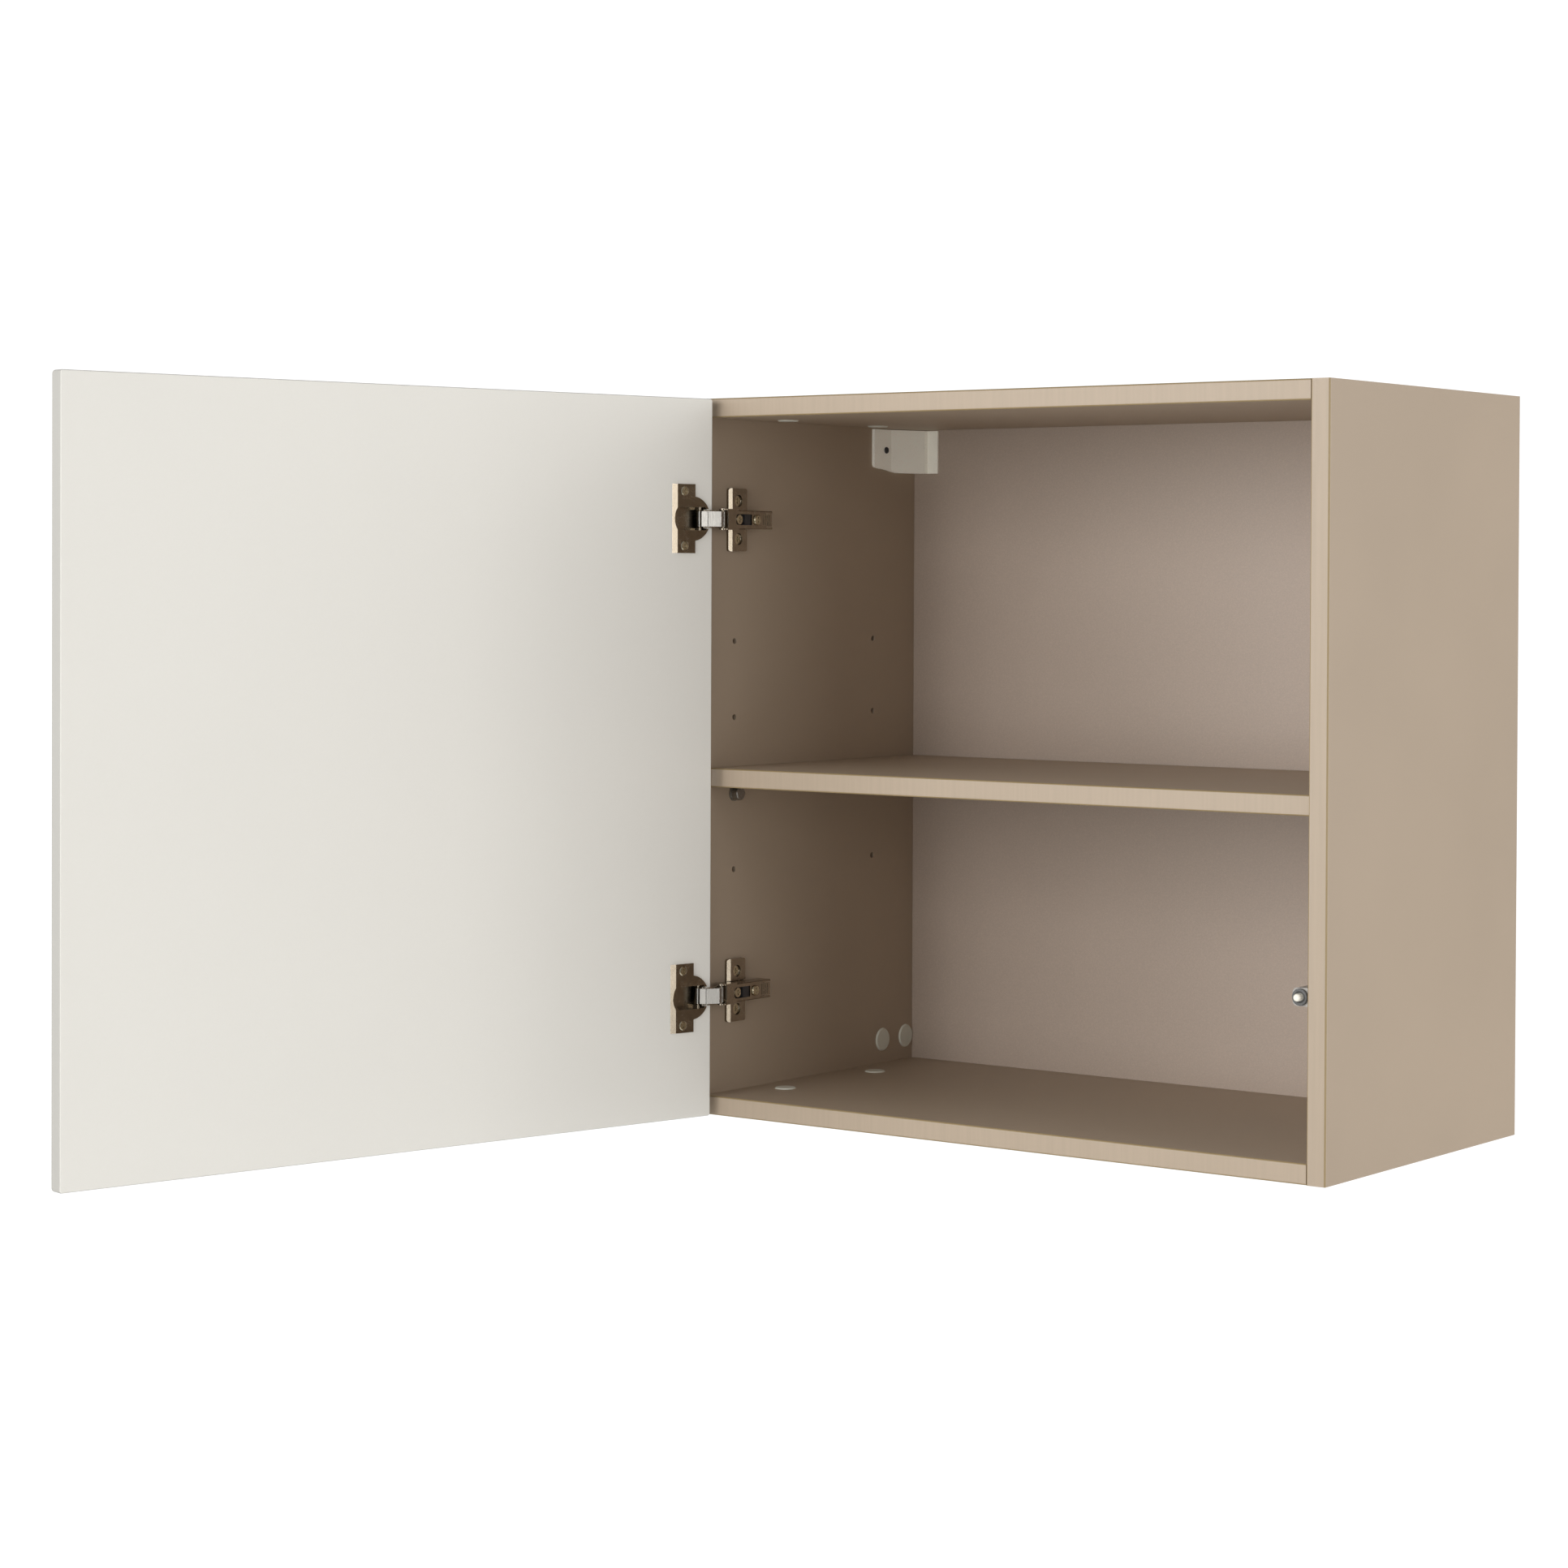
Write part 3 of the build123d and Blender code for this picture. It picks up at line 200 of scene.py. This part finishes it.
def board_material(
    name, colour, rough, specular, speck, grain_scale, grain_depth, cloud=0.03, rim_shade_across=None
):
    """Melamine or foil faced board: pearl grain, fine specks, faint clouds and a fine emboss,
    with painted shade on the edges when a thickness direction is given.
    """
    material, tree, shader = new_material(name)
    at = place(tree)
    clouds = noise(tree, at, 5.0, 2.0)
    specks = noise(tree, at, grain_scale, 2.0, 0.7)
    fine = noise(tree, at, grain_scale * 3.1, 1.0, 0.5)
    base = two_tone(tree, clouds, 0.3, 0.7, colour, (cloud, cloud))
    light = remap(tree, specks, 0.42, 0.68, 0, 1)
    light = maths(tree, "MULTIPLY", light, speck)
    base = blend_colour(tree, light, base, scaled(colour, SPECK_LIFT))
    dark = remap(tree, fine, 0.32, 0.5, 1, 0)
    dark = maths(tree, "MULTIPLY", dark, speck)
    base = blend_colour(tree, dark, base, scaled(colour, SPECK_DROP))
    # painted shade: the board's rim is darkened against its faces, standing in for the shade that
    # falls there
    if rim_shade_across:
        base = blend_colour(tree, rim_shade_mask(tree, rim_shade_across), base, scaled(colour, RIM_SHADE_DROP))
    tree.links.new(base, shader.inputs["Base Color"])
    drift = remap(tree, clouds, 0.3, 0.7, -0.03, 0.03)
    gloss = remap(tree, specks, 0.3, 0.7, rough - 0.05, rough + 0.05)
    tree.links.new(maths(tree, "ADD", drift, gloss), shader.inputs["Roughness"])
    shader.inputs["Specular IOR Level"].default_value = specular
    bump(tree, [(specks, grain_depth, 0.6), (fine, grain_depth * 0.5, 0.5)], shader)
    return material


def band_material(name, colour, arris, rough):
    """Plastic edge band: smooth face, with painted shade in darker ochre on the rounded arris."""
    material, tree, shader = new_material(name)
    at = place(tree)
    streaks = noise(tree, place(tree, (1, 1, 0.04)), 260, 2.0)
    fine = noise(tree, at, 1900, 2.0)
    base = two_tone(tree, streaks, 0.35, 0.65, colour, (0.025, 0.02))
    # painted shade: where the rounded arris leans between front and side, the band is coloured
    # darker ochre
    coords = tree.nodes.new("ShaderNodeTexCoord")
    split = tree.nodes.new("ShaderNodeSeparateXYZ")
    tree.links.new(coords.outputs["Normal"], split.inputs[0])
    facing = maths(tree, "ABSOLUTE", split.outputs["Y"], 0)
    off_front = remap(tree, facing, 0.995, 0.93, 0, 1)
    off_side = remap(tree, facing, 0.05, 0.35, 0, 1)
    turn = maths(tree, "MULTIPLY", off_front, off_side)
    turn = maths(tree, "MULTIPLY", turn, BAND_ARRIS_SHADE_SHARE)
    base = blend_colour(tree, turn, base, arris)
    tree.links.new(base, shader.inputs["Base Color"])
    gloss = remap(tree, fine, 0.3, 0.7, rough - 0.05, rough + 0.06)
    tree.links.new(gloss, shader.inputs["Roughness"])
    shader.inputs["Specular IOR Level"].default_value = BAND_SPECULAR
    bump(tree, [(fine, 0.00003, 0.4), (streaks, 0.00005, 0.3)], shader)
    return material


def metal_material(
    name, colour, edge, rough, brushed=(1, 1, 1), grain=900, wear_and_highlight=0.6, depth=0.000008
):
    """Plated or cast metal: clouded plating, fine drawn grain and brighter arrises, partly rubbed
    plating and partly painted highlight.
    """
    material, tree, shader = new_material(name)
    at = place(tree)
    clouds = noise(tree, at, 140, 3.0)
    lines = noise(tree, place(tree, brushed), grain, 3.0, 0.6)
    base = two_tone(tree, clouds, 0.35, 0.65, colour, (0.06, 0.06))
    # brighter arrises: partly plating rubbed through, partly painted highlight
    worn_and_lit = maths(tree, "MULTIPLY", edge_wear_and_highlight(tree), wear_and_highlight)
    base = blend_colour(tree, worn_and_lit, base, edge)
    tree.links.new(base, shader.inputs["Base Color"])
    drift = remap(tree, clouds, 0.35, 0.65, -0.03, 0.03)
    gloss = remap(tree, lines, 0.3, 0.7, rough - 0.05, rough + 0.06)
    tree.links.new(maths(tree, "ADD", drift, gloss), shader.inputs["Roughness"])
    shader.inputs["Metallic"].default_value = 1.0
    bump(tree, [(lines, depth, 0.35), (clouds, depth, 0.2)], shader)
    return material


def plastic_material(name, colour, rough, specular=0.5, grain=1500, depth=0.00004, painted_glow=0.0):
    """Moulded plastic: fine spark texture, faint clouds, arrises lightened as painted highlight;
    milky plastic gets a painted emission standing in for the light it catches.
    """
    material, tree, shader = new_material(name)
    at = place(tree)
    clouds = noise(tree, at, 60, 3.0)
    spark = noise(tree, at, grain, 2.0, 0.7)
    base = two_tone(tree, clouds, 0.3, 0.7, colour, (0.03, 0.03))
    # painted highlight: the plastic's arrises are lightened
    worn_and_lit = maths(tree, "MULTIPLY", edge_wear_and_highlight(tree), PLASTIC_ARRIS_HIGHLIGHT_SHARE)
    base = blend_colour(tree, worn_and_lit, base, scaled(colour, PLASTIC_ARRIS_HIGHLIGHT_LIFT))
    tree.links.new(base, shader.inputs["Base Color"])
    gloss = remap(tree, spark, 0.3, 0.7, rough - 0.06, rough + 0.07)
    tree.links.new(gloss, shader.inputs["Roughness"])
    shader.inputs["Specular IOR Level"].default_value = specular
    # painted light: the milky plastic is given an emission that stands in for the light it
    # catches
    shader.inputs["Emission Color"].default_value = (*colour, 1)
    shader.inputs["Emission Strength"].default_value = painted_glow
    bump(tree, [(spark, depth, 0.5), (clouds, depth * 3, 0.2)], shader)
    return material


def wood_material(name, light, dark):
    """Plain beech, with rays along X."""
    material, tree, shader = new_material(name)
    rays = noise(tree, place(tree, (0.08, 1, 1)), 900, 4.0, 0.65)
    pores = noise(tree, place(tree, (0.2, 1, 1)), 2600, 2.0)
    base = blend_colour(tree, remap(tree, rays, 0.35, 0.65, 0, 1), dark, light)
    base = blend_colour(tree, remap(tree, pores, 0.25, 0.4, 0.6, 0), base, scaled(dark, 0.5))
    tree.links.new(base, shader.inputs["Base Color"])
    tree.links.new(remap(tree, rays, 0.3, 0.7, 0.6, 0.78), shader.inputs["Roughness"])
    bump(tree, [(rays, 0.00006, 0.6)], shader)
    return material


DOOR_ACROSS = (0.974, -0.228, 0.0)  # the open door's thickness direction
made = {
    "carcass_melamine": board_material(
        "carcass_melamine", (0.4245, 0.336, 0.250), 0.50, 0.45, 0.16, 1500, 0.00005
    ),
    # the third colour is the painted shade on the band's rounded arris
    "edge_band": band_material("edge_band", (0.472, 0.377, 0.280), (0.30, 0.215, 0.095), 0.42),
    "back_board": board_material(
        "back_board", (0.464, 0.375, 0.308), 0.42, 0.5, 0.30, 900, 0.00010
    ),
    # the door's rim gets painted shade, placed by DOOR_ACROSS
    "door_white": board_material(
        "door_white", (0.862, 0.842, 0.786), 0.58, 0.15, 0.03, 420, 0.00006, 0.008, DOOR_ACROSS
    ),
    "beech": wood_material("beech", (0.62, 0.42, 0.24), (0.45, 0.28, 0.14)),
    "cap_plastic": plastic_material("cap_plastic", (0.72, 0.72, 0.63), 0.38),
    "dark_screw": metal_material("dark_screw", (0.10, 0.105, 0.115), (0.30, 0.31, 0.33), 0.34),
    # the milky white plastic gets a painted emission
    "white_plastic": plastic_material(
        "white_plastic", (0.92, 0.89, 0.79), 0.30, 0.6, 900, painted_glow=0.09
    ),
    "zinc": metal_material(
        "zinc", (0.52, 0.52, 0.53), (0.80, 0.80, 0.80), 0.38, grain=700, depth=0.00003
    ),
    "bright_nickel": metal_material(
        "bright_nickel",
        (0.325, 0.312, 0.288),
        (0.80, 0.78, 0.74),
        0.30,
        brushed=(1, 1, 0.1),
        grain=1600,
    ),
    # the near-white arris colour of the screws is mostly painted highlight, a ring glint on the
    # heads
    "brassy_screw": metal_material(
        "brassy_screw", (0.50, 0.44, 0.31), (0.98, 0.90, 0.72), 0.25, grain=1800, wear_and_highlight=0.9
    ),
    "black_plastic": plastic_material("black_plastic", (0.018, 0.018, 0.020), 0.40),
    "grey_plastic": plastic_material("grey_plastic", (0.44, 0.42, 0.39), 0.42),
    "grey_plastic_dark": plastic_material("grey_plastic_dark", (0.10, 0.10, 0.10), 0.30),
    "spring_steel": metal_material("spring_steel", (0.30, 0.29, 0.27), (0.62, 0.60, 0.56), 0.30),
    "dark_nickel": metal_material(
        "dark_nickel", (0.30, 0.255, 0.195), (0.72, 0.66, 0.56), 0.22, grain=1300
    ),
}

slot_of = {s["node"]: s["material_slot"] for s in frame["record"]["subparts"]}
for name, obj in nodes.items():
    material = made[slot_of[name]]
    for slot in obj.material_slots:
        slot.link = "OBJECT"
        slot.material = material


# ---------------------------------------------------------------- latch spring

COIL_STEPS = 24  # rings in one turn
COIL_SIDES = 8  # corners of the wire's section


def coil_spring(name, node, wire, turns):
    """Compression spring in a sleeve node's place, wound along Y, its end turns closed."""
    low, high = (Vector(corner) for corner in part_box(node))
    centre = (low + high) / 2
    radius = (high.x - low.x - wire) / 2
    length = high.y - low.y
    count = turns * COIL_STEPS
    open_rise = (length - 3 * wire) / (turns - 2)
    mesh = bmesh.new()
    rings = []
    rise = low.y + wire / 2
    for i in range(count + 1):
        turn = 2 * math.pi * i / COIL_STEPS
        out = Vector((math.cos(turn), 0, math.sin(turn)))
        middle_of_wire = Vector((centre.x, rise, centre.z)) + out * radius
        ring = []
        for k in range(COIL_SIDES):
            around = 2 * math.pi * k / COIL_SIDES
            offset = out * math.cos(around) + Vector((0, math.sin(around), 0))
            ring.append(mesh.verts.new(middle_of_wire + offset * (wire / 2)))
        rings.append(ring)
        closed = i < COIL_STEPS or i >= count - COIL_STEPS
        rise += (wire if closed else open_rise) / COIL_STEPS
    for a, b in zip(rings, rings[1:]):
        for k in range(COIL_SIDES):
            after = (k + 1) % COIL_SIDES
            mesh.faces.new((a[k], a[after], b[after], b[k]))
    mesh.faces.new(rings[0])
    mesh.faces.new(rings[-1])
    bmesh.ops.recalc_face_normals(mesh, faces=mesh.faces)
    for face in mesh.faces:
        face.smooth = len(face.verts) == 4
    data = bpy.data.meshes.new(name)
    mesh.to_mesh(data)
    mesh.free()
    obj = bpy.data.objects.new(name, data)
    scene.collection.objects.link(obj)
    data.materials.append(made[slot_of[node]])
    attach(obj, "carcass")
    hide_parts(node)
    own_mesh(obj)


WIRE = 0.0006
coil_spring("latch_coil_spring", "latch_spring", wire=WIRE, turns=12)


# ---------------------------------------------------------------- camera

YAW = math.radians(36.406)
PITCH = math.radians(-0.869)
ROLL = math.radians(0.248)
EYE = Vector((1.5587, -2.6190, 0.4471))
LENS_MM = 81.32
SENSOR_MM = 36.0
SHIFT = (-0.0400, -0.0969)
level = math.cos(PITCH)
ahead = Vector((-math.sin(YAW) * level, math.cos(YAW) * level, math.sin(PITCH)))
camera_data = bpy.data.cameras.new("camera")
camera = bpy.data.objects.new("camera", camera_data)
scene.collection.objects.link(camera)
camera.rotation_mode = "QUATERNION"
camera.location = EYE
roll = Matrix.Rotation(ROLL, 4, "Z").to_quaternion()
camera.rotation_quaternion = ahead.to_track_quat("-Z", "Y") @ roll
camera_data.sensor_width = SENSOR_MM
camera_data.lens = LENS_MM
camera_data.shift_x, camera_data.shift_y = SHIFT
camera_data.clip_start = 0.05
camera_data.clip_end = 60
scene.camera = camera


# ---------------------------------------------------------------- studio

MIDDLE = (-0.05, -0.3, 0.3)  # what every light is aimed at
PANEL = 2.4  # height of every light


def area_light(name, position, width, power):
    """White panel light, its power in watts."""
    light = bpy.data.lights.new(name, "AREA")
    light.shape = "RECTANGLE"
    light.size = width
    light.size_y = PANEL
    light.energy = power
    obj = bpy.data.objects.new(name, light)
    scene.collection.objects.link(obj)
    obj.location = position
    obj.rotation_mode = "QUATERNION"
    obj.rotation_quaternion = (Vector(MIDDLE) - Vector(position)).to_track_quat("-Z", "Y")


AMBIENT = 0.25
BACKDROP = 1.1

world = bpy.data.worlds.new("studio")
scene.world = world
world.use_nodes = True
studio = world.node_tree
studio.nodes.clear()
world_out = studio.nodes.new("ShaderNodeOutputWorld")
ambient = studio.nodes.new("ShaderNodeBackground")
backdrop = studio.nodes.new("ShaderNodeBackground")
chooser = studio.nodes.new("ShaderNodeMixShader")
ray = studio.nodes.new("ShaderNodeLightPath")
ambient.inputs["Color"].default_value = (1.0, 0.99, 0.975, 1)
ambient.inputs["Strength"].default_value = AMBIENT
backdrop.inputs["Color"].default_value = (1, 1, 1, 1)
backdrop.inputs["Strength"].default_value = BACKDROP
studio.links.new(ray.outputs["Is Camera Ray"], chooser.inputs[0])
studio.links.new(ambient.outputs[0], chooser.inputs[1])
studio.links.new(backdrop.outputs[0], chooser.inputs[2])
studio.links.new(chooser.outputs[0], world_out.inputs["Surface"])

area_light("front", (0.5, -4.2, 0.7), 2.4, 46)
area_light("front_left", (-1.2, -4.2, 1.0), 2.0, 56)
area_light("far_left", (-2.4, -3.2, 0.9), 2.0, 36)
area_light("right", (3.6, -0.2, 0.7), 2.4, 59)
area_light("right_rear", (3.2, 1.6, 0.8), 2.4, 35)
area_light("left_rear", (-3.4, 1.8, 0.9), 2.4, 40)
area_light("overhead", (0.2, -1.0, 3.2), 2.4, 6)

FLOOR_HALF = 2.4
FLOOR_AT = (0, -0.4, -1.4)

floor_mesh = bpy.data.meshes.new("floor")
grid = bmesh.new()
bmesh.ops.create_grid(grid, x_segments=8, y_segments=8, size=FLOOR_HALF)
grid.to_mesh(floor_mesh)
grid.free()
floor = bpy.data.objects.new("floor", floor_mesh)
floor.location = FLOOR_AT
scene.collection.objects.link(floor)
floor_material, floor_tree, floor_shader = new_material("pale_floor")
floor_at = place(floor_tree)
paper = noise(floor_tree, floor_at, 900, 2.0)
patches = noise(floor_tree, floor_at, 3.0, 2.0)
patchy = remap(floor_tree, patches, 0.3, 0.7, 0, 1)
tone = blend_colour(floor_tree, patchy, (0.81, 0.81, 0.80), (0.83, 0.83, 0.82))
floor_tree.links.new(tone, floor_shader.inputs["Base Color"])
floor_gloss = remap(floor_tree, paper, 0.3, 0.7, 0.66, 0.76)
floor_tree.links.new(floor_gloss, floor_shader.inputs["Roughness"])
bump(floor_tree, [(paper, 0.0001, 0.3)], floor_shader)
floor_mesh.materials.append(floor_material)
